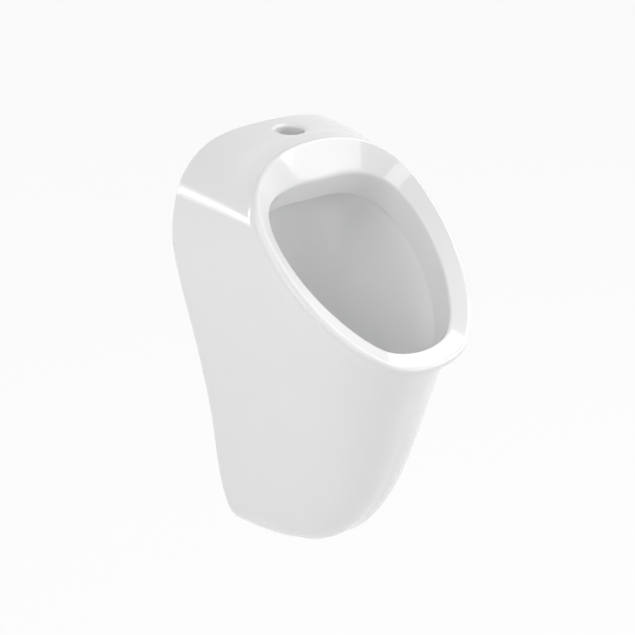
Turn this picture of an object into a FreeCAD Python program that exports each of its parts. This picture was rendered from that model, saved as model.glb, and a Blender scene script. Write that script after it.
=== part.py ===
"""Wall hung urinal with a sloping oval rim, a concealed wall fixing and a bottle trap.

Millimetres, +Z up, +Y towards the wall. While the pieces are modelled the wall face is y = 0
and the foot of the ceramic is z = 0; they are moved to the wall fixings when they are written.
"""
import FreeCAD, Part
import math
import os

Vector = FreeCAD.Vector

# ---- Ceramic body: outer shape --------------------------------------------------------------
body_height = 550.0
body_width = 294.0
wall_thickness = 9.0

rim_tilt = 50.85            # rim plane, degrees from vertical
rim_back_y = -102.6         # back end of the opening, from the wall
rim_back_drop = 51.15       # and below the crown
opening_length = 250.0      # along the rim plane
opening_width = 209.0
opening_edge_round = 3.0
lip_round = 6.0             # roundover along the outside of the rim
rim_band_depth = 42.0       # straight band inside the rim, square to its plane

# Half outlines, from the crown round the side to the foot; station i of one outline lies
# opposite station i of the next. First numbers are shares of the half width.
wall_outline = [(0.0, 1.0), (0.35, 0.9955), (0.622, 0.9774), (0.826, 0.9355), (0.942, 0.878),
                (0.994, 0.802), (0.976, 0.731), (0.891, 0.627), (0.762, 0.484), (0.643, 0.32),
                (0.571, 0.167), (0.449, 0.053), (0.225, 0.007), (0.0, 0.004)]
opening_outline = [(0.0, 1.0), (0.325, 1.0), (0.632, 0.974), (0.847, 0.908), (0.967, 0.796),
                   (1.0, 0.652), (0.962, 0.496), (0.861, 0.336), (0.679, 0.172), (0.478, 0.062),
                   (0.306, 0.021), (0.172, 0.0064), (0.077, 0.0012), (0.0, 0.0)]
# Edge of the ring face, from the opening, in steps: outwards, up the rim plane, proud of it
reach_step = 1.0
face_reach = [(0, 35, 31), (7, 31, 29.5), (10.5, 24, 26.5), (15, 16, 21.5), (17, 10, 16),
              (18, 5, 12.5), (19, -2, 10), (18, -12, 8.5), (14.5, -17, 7), (9.5, -20, 6),
              (6, -21.2, 5.5), (3, -21.8, 5), (1, -22, 5), (0, -22, 5)]
# Groove behind the lip, in the same terms
groove_reach = [(0, 53, 17), (10, 49, 15.5), (16, 41, 12.5), (20, 31, 8), (21.5, 21, 3),
                (21.5, 9, -3), (20.5, 1, -6), (17, -9, -8), (13, -16, -9), (8, -18.5, -10),
                (5, -19.7, -10.5), (2, -20.8, -11), (1, -21, -11), (0, -21, -11)]
# Front profile from foot to groove: share of the way forward, share of the way up
front_profile = [(0.0, 0.0), (0.15, 0.012), (0.293, 0.037), (0.43, 0.084), (0.56, 0.17),
                 (0.683, 0.308), (0.782, 0.478), (0.857, 0.665), (0.92, 0.853), (1.0, 1.0)]
side_lag = 1.15             # above 1 keeps the sides full before they turn to the front

# ---- Bowl: from the roof behind the lintel down to the waste --------------------------------
drain_y = -80.0             # waste axis, in front of the wall
floor_z = 178.0             # flat seat for the waste fitting
floor_radius = 38.0
floor_thickness = 12.0
bowl_back_y = -22.0
# Back end: distance in front of the bowl's back, share of the way down to the floor.
# Front end: shares of the way in and down from the rim band to the floor.
# Then the share of the opening's half width, and the share of the round floor outline.
bowl_sections = [((36.0, -0.027), (0.033, 0.072), 0.986, 0.0),
                 ((15.0, -0.013), (0.079, 0.164), 0.962, 0.06),
                 ((0.0, 0.063), (0.138, 0.279), 0.928, 0.14),
                 ((0.5, 0.244), (0.257, 0.448), 0.871, 0.26),
                 ((2.0, 0.480), (0.434, 0.624), 0.780, 0.45),
                 ((5.0, 0.709), (0.632, 0.770), 0.660, 0.65),
                 ((9.0, 0.875), (0.809, 0.883), 0.526, 0.85),
                 ((14.0, 0.965), (0.934, 0.969), 0.440, 0.97)]
open_back = 5.0             # how far the hollow is cut past the wall face

# ---- Deck inlet and spreader ----------------------------------------------------------------
inlet_y = -43.0
inlet_radius = 17.5
inlet_edge_round = 3.5
deck_drop = 1.5             # deck at the inlet, below the crown
deck_slope = 4.4            # degrees, falling to the front
deck_boss_radius = 29.0
deck_boss_depth = 24.0      # underside below the crown
roof_boss_radius = 19.0
roof_boss_drop = 63.0       # top below the crown
roof_boss_height = 18.0
spreader_thread_radius = 12.1
roof_hole_gap = 0.7         # around the spreader's thread
spreader_bore_radius = 10.0
spreader_head_radius = 16.5
spreader_head_height = 9.5
spreader_web = 3.0          # under and over the slots
spreader_slots = 8
spreader_slot_width = 2.6
spreader_thread_length = 14.0    # above the roof boss
spreader_gasket_thickness = 2.0
spreader_nut_height = 8.0
spreader_nut_flats = 29.5
inlet_flange_radius = 25.5
inlet_flange_thickness = 3.0
inlet_wall = 2.0
flush_pipe_radius = 14.0    # of the pipe that is pushed in from above
flush_pipe_gap = 0.3
inlet_step_height = 8.0     # foot of the inlet tube, where it narrows to the spreader's thread
inlet_seal_height = 10.0
inlet_seal_flare = 4.0
chamber_gap = 1.5           # around the seal, in the space cast under the deck boss
spreader_seat_gap = 1.5     # around the spreader's head, in the corner of the bowl's roof

# ---- Waste fitting --------------------------------------------------------------------------
tail_radius = 20.95
tail_wall = 2.6
tail_length = 60.0          # from the flange seat down
flange_radius = 36.0
flange_height = 4.5
flange_bevel = 2.0
flange_recess_radius = 30.5
flange_recess_depth = 3.0
floor_hole_gap = 2.0
gasket_thickness = 2.0
washer_radius = 31.0
washer_thickness = 3.0
slip_ring_thickness = 1.5
backnut_height = 9.0
backnut_flats = 53.0
strainer_gap = 0.3          # under and around the loose strainer
strainer_plate = 2.0
strainer_rise = 6.0
strainer_crown_radius = 9.0
strainer_skirt_length = 9.0
strainer_slots = 12
strainer_slot_width = 3.6
strainer_slot_start = 8.0   # from the axis
strainer_slot_end = 24.0
strainer_knob_radius = 4.5
strainer_knob_height = 6.0

# ---- Bottle trap ----------------------------------------------------------------------------
neck_drop = 47.0            # mouth of the trap below the bowl's floor
neck_radius = 25.5
neck_height = 17.0
trap_radius = 30.0
trap_wall = 5.5
trap_height = 57.0          # from the shoulder that the cup is screwed up to, to the mouth
shelf_thickness = 3.0
skirt_radius = 26.9
skirt_length = 15.0
dip_radius = 15.0
dip_wall = 1.6
dip_below_shoulder = 34.0
dip_collar_radius = 19.5
dip_collar_thickness = 2.5
cup_radius = 31.0
cup_gap = 0.3
cup_depth = 48.0            # below the shoulder
cup_floor = 3.0
cup_bevel = 4.0
cup_seal_thickness = 2.0
grip_ribs = 10
rib_width = 3.0
rib_height = 1.6
rib_root = 1.5
nut_wall = 3.2
nut_lip = 2.5
trap_seal_height = 4.0
inlet_nut_height = 22.0

outlet_above_shoulder = 20.0
pipe_radius = 16.0
pipe_wall = 1.8
pipe_gap = 0.3
outlet_neck_radius = 20.0
outlet_neck_reach = 44.0    # behind the waste axis
outlet_seal_length = 3.5
outlet_nut_length = 17.0
pipe_start_reach = 28.0
pipe_in_wall = 50.0
connector_radius = 25.0
connector_length = 28.0
connector_flange_radius = 29.0
connector_flange_thickness = 3.0
access_half_width = 38.0
access_back_y = -14.0
access_corner = 16.0
access_gap = 7.0            # between the cup and the front of the access opening

# ---- Wall fixing ----------------------------------------------------------------------------
fixing_drop = 75.0          # below the crown
fixing_inset = 62.0         # from the widest part of the side
bracket_width = 40.0
bracket_thickness = 3.0
bracket_below_fixing = 17.0
bracket_above_fixing = 40.0
bracket_hole_radius = 4.5
rail_above_fixing = 25.0
rail_height = 22.0
rail_depth = 12.0
rail_gap = 0.3
rail_inset = 25.0           # from the widest part of the side
hook_height = 10.0
pad_thickness = 3.0
bolt_radius = 4.0           # machine thread
bolt_front = 14.0           # in front of the bracket
anchor_radius = 5.0         # coarser end that is screwed into the wall
anchor_length = 55.0
washer_plate_radius = 11.0
washer_plate_thickness = 1.6
hex_nut_flats = 13.0
hex_nut_height = 6.5
thread_gap = 0.05

# ---- Heights and places that follow from these ----------------------------------------------
tilt = math.radians(rim_tilt)
rim_front_y = rim_back_y - opening_length * math.sin(tilt)
rim_front_z = body_height - rim_back_drop - opening_length * math.cos(tilt)
deck_boss_foot_z = body_height - deck_boss_depth
roof_boss_top_z = body_height - roof_boss_drop
roof_boss_foot_z = roof_boss_top_z - roof_boss_height
spreader_top_z = roof_boss_top_z + spreader_thread_length
neck_top_z = floor_z - neck_drop
trap_foot_z = neck_top_z - trap_height
dip_foot_z = trap_foot_z - dip_below_shoulder
cup_foot_z = trap_foot_z - cup_depth
outlet_z = trap_foot_z + outlet_above_shoulder
outlet_neck_end_y = drain_y + outlet_neck_reach
pipe_start_y = drain_y + pipe_start_reach
fixing_z = body_height - fixing_drop
fixing_spacing = body_width - 2 * fixing_inset
rail_foot_z = fixing_z + rail_above_fixing
rail_reach = body_width / 2 - rail_inset


def rim_point(x, s, p):
    """Point at half width x, s up the rim plane from the front of the opening, p proud of it."""
    return (x, rim_front_y + s * math.sin(tilt) - p * math.cos(tilt),
            rim_front_z + s * math.cos(tilt) + p * math.sin(tilt))


def wall_curve():
    return [(x * body_width / 2, 0.0, z * body_height) for x, z in wall_outline]


def opening_flat():
    return [(x * opening_width / 2, s * opening_length) for x, s in opening_outline]


def opening_curve(depth=0.0):
    return [rim_point(x, s, -depth) for x, s in opening_flat()]


def reach_curve(reach):
    return [rim_point(x + dx * reach_step, s + ds * reach_step, p * reach_step)
            for (x, s), (dx, ds, p) in zip(opening_flat(), reach)]


def body_sections():
    sections = []
    for forward, up in front_profile:
        inward = forward ** side_lag
        row = []
        for start, end in zip(wall_curve(), reach_curve(groove_reach)):
            row.append((start[0] + (end[0] - start[0]) * inward,
                        end[1] * forward,
                        start[2] + (end[2] - start[2]) * up))
        sections.append(row)
    return sections


def outward(flat, i):
    """Unit vector out of a closed half outline at station i, in its own plane."""
    after = flat[i + 1] if i + 1 < len(flat) else (-flat[i - 1][0], flat[i - 1][1])
    before = flat[i - 1] if i else (-flat[1][0], flat[1][1])
    dx, ds = after[0] - before[0], after[1] - before[1]
    size = math.hypot(dx, ds)
    return (-ds / size, dx / size)


def lip_sections():
    """Curves across the lip, from the edge of the ring face round to the groove behind it."""
    flat = [(x + dx * reach_step, s + ds * reach_step)
            for (x, s), (dx, ds, p) in zip(opening_flat(), face_reach)]
    rows = []
    for step in range(5):
        turn = math.radians(90 * step / 4)
        out, down = lip_round * math.sin(turn), lip_round * (1 - math.cos(turn))
        row = []
        for i, (x, s) in enumerate(flat):
            ox, os_ = outward(flat, i)
            row.append(rim_point(x + ox * out, s + os_ * out, face_reach[i][2] * reach_step - down))
        rows.append(row)
    return rows


def floor_circle(z, radius):
    """The waste seat outline, with its stations in the same order as the opening's."""
    points = []
    for x, s in opening_outline:
        turn = math.atan2(x * opening_width / 2, (s - 0.5) * opening_length)
        points.append((radius * math.sin(turn), drain_y + radius * math.cos(turn), z))
    points[0] = (0.0, drain_y + radius, z)
    return points


def bowl_curves():
    """Closed half curves of the bowl, from the crease under the rim band to the floor."""
    crease = opening_curve(rim_band_depth)
    crease_back_z = crease[0][2]
    crease_front_y, crease_front_z = crease[-1][1:]
    rows = [crease]
    for (back_gap, back_down), (front_in, front_down), half, roundness in bowl_sections:
        back_y = bowl_back_y - back_gap
        back_z = crease_back_z + (floor_z - crease_back_z) * back_down
        front_y = crease_front_y + (drain_y - floor_radius - crease_front_y) * front_in
        front_z = crease_front_z + (floor_z - crease_front_z) * front_down
        row = []
        for (x, s), (cx, cy, cz) in zip(opening_outline, floor_circle(0.0, 1.0)):
            share = s + ((cy - drain_y + 1) / 2 - s) * roundness
            row.append((opening_width / 2 * half * (x + (cx - x) * roundness),
                        front_y + (back_y - front_y) * share, front_z + (back_z - front_z) * share))
        rows.append(row)
    rows.append(floor_circle(floor_z, floor_radius))
    upper, lower = rows[:4], rows[3:]
    return upper[:-1] + finer(finer(lower, upper[-2]), upper[-2])


def between(a, b, c, d):
    """Curve halfway from b to c on the smooth surface that also passes a and d."""
    return [tuple((9 * (q + r) - p - s) / 16 for p, q, r, s in zip(*points))
            for points in zip(a, b, c, d)]


def finer(rows, before):
    """The same curves with one more worked out between each two."""
    fine = rows[:1]
    for a, b, c, d in zip([before] + rows[:-2], rows[:-1], rows[1:], rows[2:] + rows[-1:]):
        fine += [between(a, b, c, d), c]
    return fine


def mirrored(point):
    return (-point[0], point[1], point[2])


def offset_curves(rows, distance):
    """The same grid of half curves moved along the surface normals."""
    moved = []
    last = len(rows) - 1
    for k, row in enumerate(rows):
        new = []
        for i, point in enumerate(row):
            ahead = row[i + 1] if i + 1 < len(row) else mirrored(row[i - 1])
            behind = row[i - 1] if i else mirrored(row[1])
            along = Vector(*ahead) - Vector(*behind)
            across = Vector(*rows[min(k + 1, last)][i]) - Vector(*rows[max(k - 1, 0)][i])
            normal = along.cross(across).normalize()
            shifted = Vector(*point) + normal * distance
            if i in (0, len(row) - 1):
                shifted.x = 0.0
            new.append((shifted.x, shifted.y, shifted.z))
        moved.append(new)
    return moved


# ---- Solids from half outlines --------------------------------------------------------------
def closed_wire(half):
    """A periodic curve through a half outline and its mirror image."""
    points = [Vector(*p) for p in half] + [Vector(*mirrored(p)) for p in half[-2:0:-1]]
    curve = Part.BSplineCurve()
    curve.interpolate(Points=points, PeriodicFlag=True,
                      Parameters=[float(i) for i in range(len(points) + 1)])
    return Part.Wire([curve.toShape()])


def band(rows):
    """Faces through the curves, one strip between each two."""
    return Part.makeLoft([closed_wire(row) for row in rows], False, True).Faces


def cap(row):
    return [Part.Face(closed_wire(row))]


def closed_solid(faces):
    shell = Part.Shell(Part.makeShell(faces).Faces)
    shell.sewShape()
    solid = Part.Solid(shell)
    if solid.Volume < 0:
        solid.reverse()
    return solid


def opening_edge_rows():
    """Small round between the ring face and the straight band inside the rim."""
    below = opening_curve(opening_edge_round)
    start = []
    middle = []
    for a, b, c in zip(opening_curve(), reach_curve(face_reach), below):
        corner = Vector(*a)
        outer = corner + (Vector(*b) - corner).normalize() * opening_edge_round
        centre = outer * 0.25 + corner * 0.5 + Vector(*c) * 0.25
        start.append(tuple(outer))
        middle.append(tuple(centre))
    return [start, middle, below]


def ceramic_block():
    """The outer shape with the bowl let into it, solid behind."""
    body = body_sections()
    lip = lip_sections()
    edge = opening_edge_rows()
    bowl = bowl_curves()
    faces = cap(body[0]) + band(body) + band(body[-1:] + lip[::-1])
    faces += band(lip[:1] + edge + bowl[:1]) + band(bowl) + cap(bowl[-1])
    return closed_solid(faces)


def hollow():
    """Space between the outer shell and the bowl, open at the wall."""
    shell = offset_curves(body_sections(), wall_thickness)[:-1]
    back = [(x, 0.0, z) for x, y, z in shell[0]]
    beyond = [(x, open_back, z) for x, y, z in back]
    bowl = bowl_curves()
    outside = [moved for row, moved in zip(bowl, offset_curves(bowl, wall_thickness))
               if row[-1][2] > floor_z + floor_thickness]
    foot = floor_circle(floor_z - floor_thickness, floor_radius + wall_thickness)
    faces = cap(beyond) + band([beyond, back] + shell[1:])
    faces += band(shell[-1:] + outside[1:] + [foot]) + cap(foot)
    return closed_solid(faces)


# ---- Turned pieces and nuts -----------------------------------------------------------------
def turned(profile, y):
    """Solid of revolution about a vertical axis at x = 0, from (radius, z) corners."""
    corners = [Vector(r, 0, z) for r, z in profile]
    face = Part.Face(Part.makePolygon(corners + corners[:1]))
    solid = face.revolve(Vector(0, 0, 0), Vector(0, 0, 1), 360)
    solid.translate(Vector(0, y, 0))
    return solid


def tube(outer, inner, z_low, z_high, y):
    return turned([(inner, z_low), (outer, z_low), (outer, z_high), (inner, z_high)], y)


def to_wall(solid, z):
    """Lay a piece turned about the origin down, so that its +Z points at the wall."""
    solid.rotate(Vector(0, 0, 0), Vector(1, 0, 0), -90)
    solid.translate(Vector(0, 0, z))
    return solid


def with_grip(solid, radius, z_low, z_high, y):
    """Finger ribs round a hand nut or cup, proud of its radius."""
    ribs = []
    for k in range(grip_ribs):
        rib = Part.makeBox(rib_height + rib_root, rib_width, z_high - z_low,
                           Vector(radius - rib_root, -rib_width / 2, z_low))
        rib.rotate(Vector(0, 0, 0), Vector(0, 0, 1), 360.0 * k / grip_ribs)
        rib.translate(Vector(0, y, 0))
        ribs.append(rib)
    return solid.fuse(ribs)


def hex_prism(flats, height, centre, axis):
    corners = []
    for k in range(7):
        turn = math.radians(60 * k + 30)
        reach = flats / 2 / math.cos(math.radians(30))
        corners.append(Vector(reach * math.cos(turn), reach * math.sin(turn), 0))
    prism = Part.Face(Part.makePolygon(corners)).extrude(Vector(0, 0, height))
    turn_to_axis = FreeCAD.Rotation(Vector(0, 0, 1), axis)
    prism.Placement = FreeCAD.Placement(centre, turn_to_axis)
    return prism


# ---- Ceramic body ---------------------------------------------------------------------------
def access_cutter():
    """Rounded opening in the foot through which the trap's cup is lowered."""
    front = drain_y - cup_radius - access_gap
    plan = Part.makeBox(2 * access_half_width, access_back_y - front, body_height / 6,
                        Vector(-access_half_width, front, -wall_thickness))
    upright = [e for e in plan.Edges if abs(e.Vertexes[0].X - e.Vertexes[1].X) < 1e-6
               and abs(e.Vertexes[0].Y - e.Vertexes[1].Y) < 1e-6]
    return plan.makeFillet(access_corner, upright)


def mouth_cutter():
    """Tool that eases the mouth of the inlet hole in two bevels, square to the deck."""
    bore, edge = inlet_radius, inlet_edge_round
    tool = turned([(0, -1.5 * edge), (bore - edge / 4, -1.5 * edge), (bore + edge / 4, -edge / 2),
                   (bore + edge, 0), (bore + edge, edge), (0, edge)], 0)
    tool.rotate(Vector(0, 0, 0), Vector(1, 0, 0), deck_slope)
    tool.translate(Vector(0, inlet_y, body_height - deck_drop))
    return tool


def ceramic_body():
    deck_boss = Part.makeCylinder(deck_boss_radius, deck_boss_depth, Vector(0, inlet_y, deck_boss_foot_z))
    roof_boss = Part.makeCylinder(roof_boss_radius, roof_boss_height, Vector(0, inlet_y, roof_boss_foot_z))
    rail = Part.makeBox(2 * rail_reach, rail_depth, rail_height,
                        Vector(-rail_reach, -rail_depth - bracket_thickness - rail_gap, rail_foot_z))
    block = ceramic_block()
    body = block.cut(hollow())
    body = body.fuse([deck_boss.common(block), roof_boss, rail.common(block)])
    inlet_hole = Part.makeCylinder(inlet_radius, 2 * deck_boss_depth, Vector(0, inlet_y, deck_boss_foot_z))
    chamber = Part.makeCylinder(inlet_flange_radius + chamber_gap, deck_boss_foot_z - roof_boss_top_z,
                                Vector(0, inlet_y, roof_boss_top_z))
    seat_depth = spreader_gasket_thickness + spreader_head_height + spreader_seat_gap
    spreader_seat = Part.makeCylinder(spreader_head_radius + spreader_seat_gap, seat_depth,
                                      Vector(0, inlet_y, roof_boss_foot_z - seat_depth))
    roof_hole = Part.makeCylinder(spreader_thread_radius + roof_hole_gap, body_height / 10,
                                  Vector(0, inlet_y, roof_boss_foot_z - roof_hole_gap))
    floor_hole = Part.makeCylinder(tail_radius + floor_hole_gap, 2 * floor_thickness,
                                   Vector(0, drain_y, floor_z - 1.5 * floor_thickness))
    return body.cut([inlet_hole, mouth_cutter(), chamber, roof_hole, spreader_seat, floor_hole,
                     access_cutter()])


# ---- Inlet and spreader ---------------------------------------------------------------------
def inlet_seal():
    top = deck_boss_foot_z
    foot = top - inlet_seal_height
    lip = flush_pipe_radius + flush_pipe_gap
    return turned([(inlet_flange_radius, foot), (inlet_flange_radius, top), (lip + inlet_seal_flare, top),
                   (lip, top - inlet_seal_height / 2), (lip + inlet_seal_flare / 4, foot)], inlet_y)


def inlet_tube():
    """Flanged socket for the flush pipe, narrowed at its foot to pass the spreader's thread."""
    top = deck_boss_foot_z - inlet_seal_height
    bore = flush_pipe_radius + flush_pipe_gap
    throat = spreader_thread_radius + pipe_gap
    foot = roof_boss_top_z + spreader_nut_height
    outer, brim, step = bore + inlet_wall, inlet_flange_radius, foot + inlet_step_height
    return turned([(throat, foot), (outer, foot), (outer, top - inlet_flange_thickness),
                   (brim, top - inlet_flange_thickness), (brim, top), (bore, top), (bore, step),
                   (throat, step)], inlet_y)


def spreader():
    """Headed tube with slots round the head that throw the water over the bowl's back."""
    seat = roof_boss_foot_z - spreader_gasket_thickness
    foot = seat - spreader_head_height
    head, bore = spreader_head_radius, spreader_bore_radius
    solid = turned([(0, foot), (head * 0.75, foot), (head, foot + spreader_head_height * 0.6), (head, seat),
                    (spreader_thread_radius, seat), (spreader_thread_radius, spreader_top_z),
                    (bore, spreader_top_z), (bore, foot + spreader_web), (0, foot + spreader_web)],
                   inlet_y)
    slots = []
    for k in range(spreader_slots):
        slot = Part.makeBox(head, spreader_slot_width, spreader_head_height - 2 * spreader_web,
                            Vector(bore * 0.8, -spreader_slot_width / 2, foot + spreader_web))
        slot.rotate(Vector(0, 0, 0), Vector(0, 0, 1), 360.0 * (k + 0.5) / spreader_slots)
        slot.translate(Vector(0, inlet_y, 0))
        slots.append(slot)
    return solid.cut(slots)


def spreader_gasket():
    return tube(spreader_head_radius, spreader_thread_radius + thread_gap,
                roof_boss_foot_z - spreader_gasket_thickness, roof_boss_foot_z, inlet_y)


def spreader_nut():
    foot = Vector(0, inlet_y, roof_boss_top_z)
    nut = hex_prism(spreader_nut_flats, spreader_nut_height, foot, Vector(0, 0, 1))
    return nut.cut(Part.makeCylinder(spreader_thread_radius + thread_gap, spreader_nut_height, foot))


# ---- Waste fitting --------------------------------------------------------------------------
flange_seat_z = floor_z + gasket_thickness
flange_top_z = flange_seat_z + flange_height
recess_z = flange_top_z - flange_recess_depth
underside_z = floor_z - floor_thickness


def waste_flange():
    bore = tail_radius - tail_wall
    foot = flange_seat_z - tail_length
    return turned([(bore, foot), (tail_radius, foot), (tail_radius, flange_seat_z),
                   (flange_radius, flange_seat_z), (flange_radius, flange_top_z - flange_bevel),
                   (flange_radius - flange_bevel, flange_top_z), (flange_recess_radius, flange_top_z),
                   (flange_recess_radius, recess_z), (bore, recess_z)], drain_y)


def flange_gasket():
    return tube(flange_radius - 1, tail_radius + 1, floor_z, flange_seat_z, drain_y)


def waste_washer():
    return tube(washer_radius, tail_radius + 0.3, underside_z - washer_thickness, underside_z, drain_y)


def waste_slip_ring():
    top = underside_z - washer_thickness
    return tube(washer_radius - 1, tail_radius + 0.3, top - slip_ring_thickness, top, drain_y)


def waste_backnut():
    foot = underside_z - washer_thickness - slip_ring_thickness - backnut_height
    nut = hex_prism(backnut_flats, backnut_height, Vector(0, drain_y, foot), Vector(0, 0, 1))
    return nut.cut(Part.makeCylinder(tail_radius + thread_gap, backnut_height, Vector(0, drain_y, foot)))


def waste_strainer():
    """Raised lift-out grating with a knob, and a skirt that centres it in the tail."""
    foot = recess_z + strainer_gap
    edge = flange_recess_radius - 2 * strainer_gap
    rim = foot + strainer_plate
    skirt = tail_radius - tail_wall - 2 * strainer_gap
    crown = rim + strainer_rise
    grate = turned([(0, crown - strainer_plate), (strainer_crown_radius, crown - strainer_plate),
                    (strainer_slot_end, foot), (edge, foot), (edge, rim), (strainer_slot_end, rim),
                    (strainer_crown_radius, crown), (0, crown)], drain_y)
    slots = []
    for k in range(strainer_slots):
        slot = Part.makeBox(strainer_slot_end - strainer_slot_start, strainer_slot_width,
                            2 * strainer_rise, Vector(strainer_slot_start,
                                                      -strainer_slot_width / 2, foot - strainer_plate))
        slot.rotate(Vector(0, 0, 0), Vector(0, 0, 1), 360.0 * (k + 0.5) / strainer_slots)
        slot.translate(Vector(0, drain_y, 0))
        slots.append(slot)
    hem = foot - strainer_skirt_length
    ring = turned([(skirt - strainer_plate, hem), (skirt, hem), (skirt, foot), (strainer_slot_end + 1, foot),
                   (strainer_slot_end + 1, foot + 1), (skirt - strainer_plate, foot + 1)], drain_y)
    neck = strainer_knob_radius * 0.6
    knob = turned([(0, crown - 1), (neck, crown - 1), (neck, crown + strainer_knob_height * 0.35),
                   (strainer_knob_radius, crown + strainer_knob_height * 0.6),
                   (strainer_knob_radius * 0.8, crown + strainer_knob_height),
                   (0, crown + strainer_knob_height)], drain_y)
    return grate.cut(slots).fuse([ring, knob])


# ---- Bottle trap ----------------------------------------------------------------------------
shelf_z = neck_top_z - neck_height


def trap_body():
    """Chamber with an inlet neck, a shelf for the dip tube, a skirt for the cup and a side outlet."""
    inside = trap_radius - trap_wall
    neck_bore = tail_radius + pipe_gap
    foot = trap_foot_z - skirt_length
    shell = turned([(inside, foot), (skirt_radius, foot), (skirt_radius, trap_foot_z),
                    (trap_radius, trap_foot_z), (trap_radius, shelf_z - 3), (trap_radius - 3, shelf_z),
                    (neck_radius, shelf_z), (neck_radius, neck_top_z), (neck_bore, neck_top_z),
                    (neck_bore, shelf_z), (dip_radius + pipe_gap, shelf_z),
                    (dip_radius + pipe_gap, shelf_z - shelf_thickness),
                    (inside, shelf_z - shelf_thickness)], drain_y)
    length = outlet_neck_end_y - (drain_y + inside)
    start = drain_y + inside - 1
    neck = to_wall(Part.makeCylinder(outlet_neck_radius, length + 1, Vector(0, 0, start)), outlet_z)
    bore = to_wall(Part.makeCylinder(pipe_radius + pipe_gap, length + 10, Vector(0, 0, start - 5)), outlet_z)
    inner = Part.makeCylinder(inside, shelf_z - shelf_thickness - foot, Vector(0, drain_y, foot))
    return shell.fuse(neck.cut(inner)).cut(bore)


def trap_dip_tube():
    bore = dip_radius - dip_wall
    top = shelf_z + dip_collar_thickness
    return turned([(bore, dip_foot_z), (dip_radius, dip_foot_z), (dip_radius, shelf_z),
                   (dip_collar_radius, shelf_z), (dip_collar_radius, top), (bore, top)], drain_y)


def trap_cup_seal():
    return tube(trap_radius - 0.5, skirt_radius + 0.2, trap_foot_z - cup_seal_thickness, trap_foot_z, drain_y)


def trap_cup():
    top = trap_foot_z - cup_seal_thickness - cup_gap
    inside = skirt_radius + cup_gap
    side = cup_radius - rib_height
    floor = cup_foot_z + cup_floor
    cup = turned([(0, cup_foot_z), (side - cup_bevel, cup_foot_z), (side, cup_foot_z + cup_bevel),
                  (side, top), (inside, top), (inside, floor + cup_bevel),
                  (inside - cup_bevel, floor), (0, floor)], drain_y)
    return with_grip(cup, side, cup_foot_z + 2 * cup_bevel, top - cup_bevel, drain_y)


def union_nut(thread, lip, foot, height, y):
    """Ribbed ring that screws over a neck and presses its seal down."""
    outer = thread + nut_wall
    nut = turned([(thread + pipe_gap, foot), (outer, foot), (outer, foot + height - 1),
                  (outer - 1, foot + height), (lip, foot + height), (lip, foot + height - nut_lip),
                  (thread + pipe_gap, foot + height - nut_lip)], y)
    return with_grip(nut, outer, foot + nut_lip, foot + height - nut_lip, y)


def trap_inlet_nut():
    top = neck_top_z + trap_seal_height + nut_lip
    return union_nut(neck_radius, tail_radius + pipe_gap, top - inlet_nut_height, inlet_nut_height, drain_y)


def trap_inlet_seal():
    return tube(neck_radius, tail_radius + 0.1, neck_top_z, neck_top_z + trap_seal_height, drain_y)


def trap_outlet_seal():
    ring = tube(outlet_neck_radius, pipe_radius + 0.1, outlet_neck_end_y,
                outlet_neck_end_y + outlet_seal_length, 0)
    return to_wall(ring, outlet_z)


def trap_outlet_nut():
    end = outlet_neck_end_y + outlet_seal_length + nut_lip
    nut = union_nut(outlet_neck_radius, pipe_radius + pipe_gap, end - outlet_nut_length, outlet_nut_length, 0)
    return to_wall(nut, outlet_z)


def outlet_pipe():
    return to_wall(tube(pipe_radius, pipe_radius - pipe_wall, pipe_start_y, pipe_in_wall, 0), outlet_z)


def wall_connector():
    bore = pipe_radius + 0.1
    bush = turned([(bore, -connector_flange_thickness),
                   (connector_flange_radius, -connector_flange_thickness),
                   (connector_flange_radius, 0), (connector_radius, 0),
                   (connector_radius, connector_length - 2), (connector_radius - 2, connector_length),
                   (bore, connector_length)], 0)
    return to_wall(bush, outlet_z)


# ---- Wall fixing ----------------------------------------------------------------------------
def at_fixings(make):
    """The same piece at the left and at the right fixing, as one group of separate solids."""
    return Part.makeCompound([make(side * fixing_spacing / 2) for side in (-1, 1)])


def bracket(x):
    """Wall plate bent into a hook that holds the ceramic's rail from below and in front."""
    t = bracket_thickness
    shelf = rail_foot_z - pad_thickness
    front = -t - rail_gap - rail_depth - rail_gap - t
    foot = fixing_z - bracket_below_fixing
    head = fixing_z + bracket_above_fixing
    tip = rail_foot_z + hook_height
    outline = [(0, foot), (0, head), (-t, head), (-t, shelf), (front + t, shelf), (front + t, tip),
               (front, tip), (front, shelf - t), (-t, shelf - t), (-t, foot)]
    corners = [Vector(x - bracket_width / 2, y, z) for y, z in outline]
    plate = Part.Face(Part.makePolygon(corners + corners[:1])).extrude(Vector(bracket_width, 0, 0))
    hole = Part.makeCylinder(bracket_hole_radius, 2 * t, Vector(x, t / 2, fixing_z), Vector(0, -1, 0))
    return plate.cut(hole)


def pad(x):
    return Part.makeBox(bracket_width, rail_depth, pad_thickness,
                        Vector(x - bracket_width / 2, -bracket_thickness - rail_gap - rail_depth,
                               rail_foot_z - pad_thickness))


def bolt(x):
    """Hanger bolt: a coarse end in the wall and a machine thread through the bracket."""
    front = -bracket_thickness - bolt_front
    rod = turned([(0, front), (bolt_radius - 1, front), (bolt_radius, front + 1), (bolt_radius, 0),
                  (anchor_radius, 0), (anchor_radius, anchor_length - 3), (2, anchor_length),
                  (0, anchor_length)], 0)
    rod.translate(Vector(x, 0, 0))
    return to_wall(rod, fixing_z)


def plate_washer(x):
    start = Vector(x, -bracket_thickness, fixing_z)
    disc = Part.makeCylinder(washer_plate_radius, washer_plate_thickness, start, Vector(0, -1, 0))
    hole = Part.makeCylinder(bolt_radius + pipe_gap, washer_plate_thickness, start, Vector(0, -1, 0))
    return disc.cut(hole)


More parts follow.
